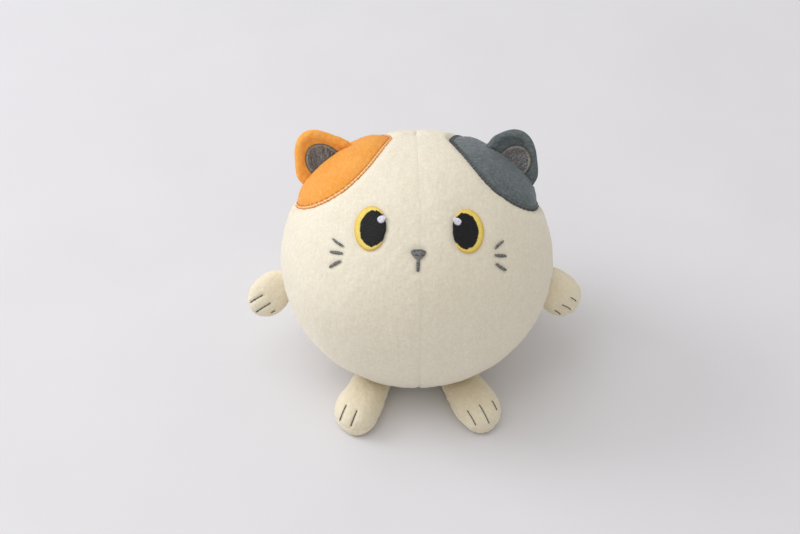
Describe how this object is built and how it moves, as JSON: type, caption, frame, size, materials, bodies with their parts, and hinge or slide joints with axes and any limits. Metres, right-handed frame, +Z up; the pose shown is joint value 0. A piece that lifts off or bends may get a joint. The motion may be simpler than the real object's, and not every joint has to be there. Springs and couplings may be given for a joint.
{
  "type": "plush cat",
  "caption": "Small round stuffed cat sitting on a flattened base: ball body, two colour patches, sewn ears, arms and legs, embroidered face.",
  "frame": {"origin": "middle of the toy's bounding box, at the table it sits on", "axes": "+Z up, -Y the way the cat faces, +X towards the grey ear (the viewer's right), +Y towards its back"},
  "size_m": [0.122, 0.1006, 0.089],
  "materials": {
    "filling": "matte",
    "orange_thread": "satin",
    "dark_thread": "satin",
    "cream_thread": "satin",
    "grey_thread": "satin",
    "inner_ear_fabric": "matte",
    "orange_plush": "matte",
    "grey_plush": "matte",
    "yellow_thread": "satin",
    "black_thread": "satin",
    "white_thread": "satin",
    "cream_plush": "matte",
    "limb_plush": "matte"
  },
  "bodies": {
    "body": {"body_filling": "filling", "body_panel_back_left": "cream_plush", "body_panel_back_right": "cream_plush", "body_panel_front_left": "cream_plush", "body_panel_front_right": "cream_plush", "eye_left_highlight": "white_thread", "eye_left_iris": "yellow_thread", "eye_left_pupil": "black_thread", "eye_right_highlight": "white_thread", "eye_right_iris": "yellow_thread", "eye_right_pupil": "black_thread", "grey_patch_back": "grey_plush", "grey_patch_front": "grey_plush", "grey_patch_topstitch": "dark_thread", "mouth_line": "grey_thread", "nose": "grey_thread", "orange_patch_back": "orange_plush", "orange_patch_front": "orange_plush", "orange_patch_topstitch": "orange_thread", "whisker_left_1": "grey_thread", "whisker_left_2": "grey_thread", "whisker_left_3": "grey_thread", "whisker_right_1": "grey_thread", "whisker_right_2": "grey_thread", "whisker_right_3": "grey_thread"},
    "arm_left": {"arm_left_back": "limb_plush", "arm_left_claw_1": "dark_thread", "arm_left_claw_2": "dark_thread", "arm_left_claw_3": "dark_thread", "arm_left_filling": "filling", "arm_left_front": "limb_plush"},
    "arm_left_root": {"arm_left_root_tack": "cream_thread"},
    "arm_right": {"arm_right_back": "limb_plush", "arm_right_claw_1": "dark_thread", "arm_right_claw_2": "dark_thread", "arm_right_claw_3": "dark_thread", "arm_right_filling": "filling", "arm_right_front": "limb_plush"},
    "arm_right_root": {"arm_right_root_tack": "cream_thread"},
    "ear_left": {"ear_left_back": "orange_plush", "ear_left_front": "orange_plush", "ear_left_inner": "inner_ear_fabric", "ear_left_inner_border": "grey_thread"},
    "ear_right": {"ear_right_back": "grey_plush", "ear_right_front": "grey_plush", "ear_right_inner": "inner_ear_fabric", "ear_right_inner_border": "grey_thread"},
    "leg_left": {"leg_left_claw_1": "dark_thread", "leg_left_claw_2": "dark_thread", "leg_left_filling": "filling", "leg_left_sole": "limb_plush", "leg_left_top": "limb_plush"},
    "leg_left_root": {"leg_left_root_tack": "cream_thread"},
    "leg_right": {"leg_right_claw_1": "dark_thread", "leg_right_claw_2": "dark_thread", "leg_right_claw_3": "dark_thread", "leg_right_filling": "filling", "leg_right_sole": "limb_plush", "leg_right_top": "limb_plush"},
    "leg_right_root": {"leg_right_root_tack": "cream_thread"}
  },
  "joints": [
    {"name": "arm_left_swing", "type": "hinge", "parent": "body", "child": "arm_left_root", "pos_m": [-0.04913, -0.00449, 0.03305], "axis": [-0.2164, 0.4432, 0.8699], "range_deg": [-30, 30], "stiffness_Nm_per_rad": 0.001},
    {"name": "arm_left_raise", "type": "hinge", "parent": "arm_left_root", "child": "arm_left", "pos_m": [-0.04913, -0.00449, 0.03305], "axis": [0, 0.891, -0.454], "range_deg": [-15, 45], "stiffness_Nm_per_rad": 0.001},
    {"name": "leg_left_lift", "type": "hinge", "parent": "body", "child": "leg_left_root", "pos_m": [-0.01522, -0.02388, 0.004], "axis": [-0.9531, 0.3025, 0], "range_deg": [-50, 8], "stiffness_Nm_per_rad": 0.003},
    {"name": "leg_left_splay", "type": "hinge", "parent": "leg_left_root", "child": "leg_left", "pos_m": [-0.01522, -0.02388, 0.004], "axis": [0, 0, -1], "range_deg": [-15, 20], "stiffness_Nm_per_rad": 0.003},
    {"name": "ear_left_fold", "type": "hinge", "parent": "body", "child": "ear_left", "pos_m": [-0.03229, 0.01698, 0.07524], "axis": [0.7361, 0.3073, 0.6031], "range_deg": [-25, 20], "stiffness_Nm_per_rad": 0.001},
    {"name": "arm_right_swing", "type": "hinge", "parent": "body", "child": "arm_right_root", "pos_m": [0.05108, -0.00449, 0.03305], "axis": [-0.2164, -0.4432, -0.8699], "range_deg": [-30, 30], "stiffness_Nm_per_rad": 0.001},
    {"name": "arm_right_raise", "type": "hinge", "parent": "arm_right_root", "child": "arm_right", "pos_m": [0.05108, -0.00449, 0.03305], "axis": [0, -0.891, 0.454], "range_deg": [-8, 50], "stiffness_Nm_per_rad": 0.001},
    {"name": "leg_right_lift", "type": "hinge", "parent": "body", "child": "leg_right_root", "pos_m": [0.01718, -0.02388, 0.004], "axis": [-0.9531, -0.3025, 0], "range_deg": [-50, 8], "stiffness_Nm_per_rad": 0.003},
    {"name": "leg_right_splay", "type": "hinge", "parent": "leg_right_root", "child": "leg_right", "pos_m": [0.01718, -0.02388, 0.004], "axis": [0, 0, 1], "range_deg": [-15, 20], "stiffness_Nm_per_rad": 0.003},
    {"name": "ear_right_fold", "type": "hinge", "parent": "body", "child": "ear_right", "pos_m": [0.03551, 0.0165, 0.07431], "axis": [0.7133, -0.3182, -0.6245], "range_deg": [-25, 20], "stiffness_Nm_per_rad": 0.001}
  ]
}
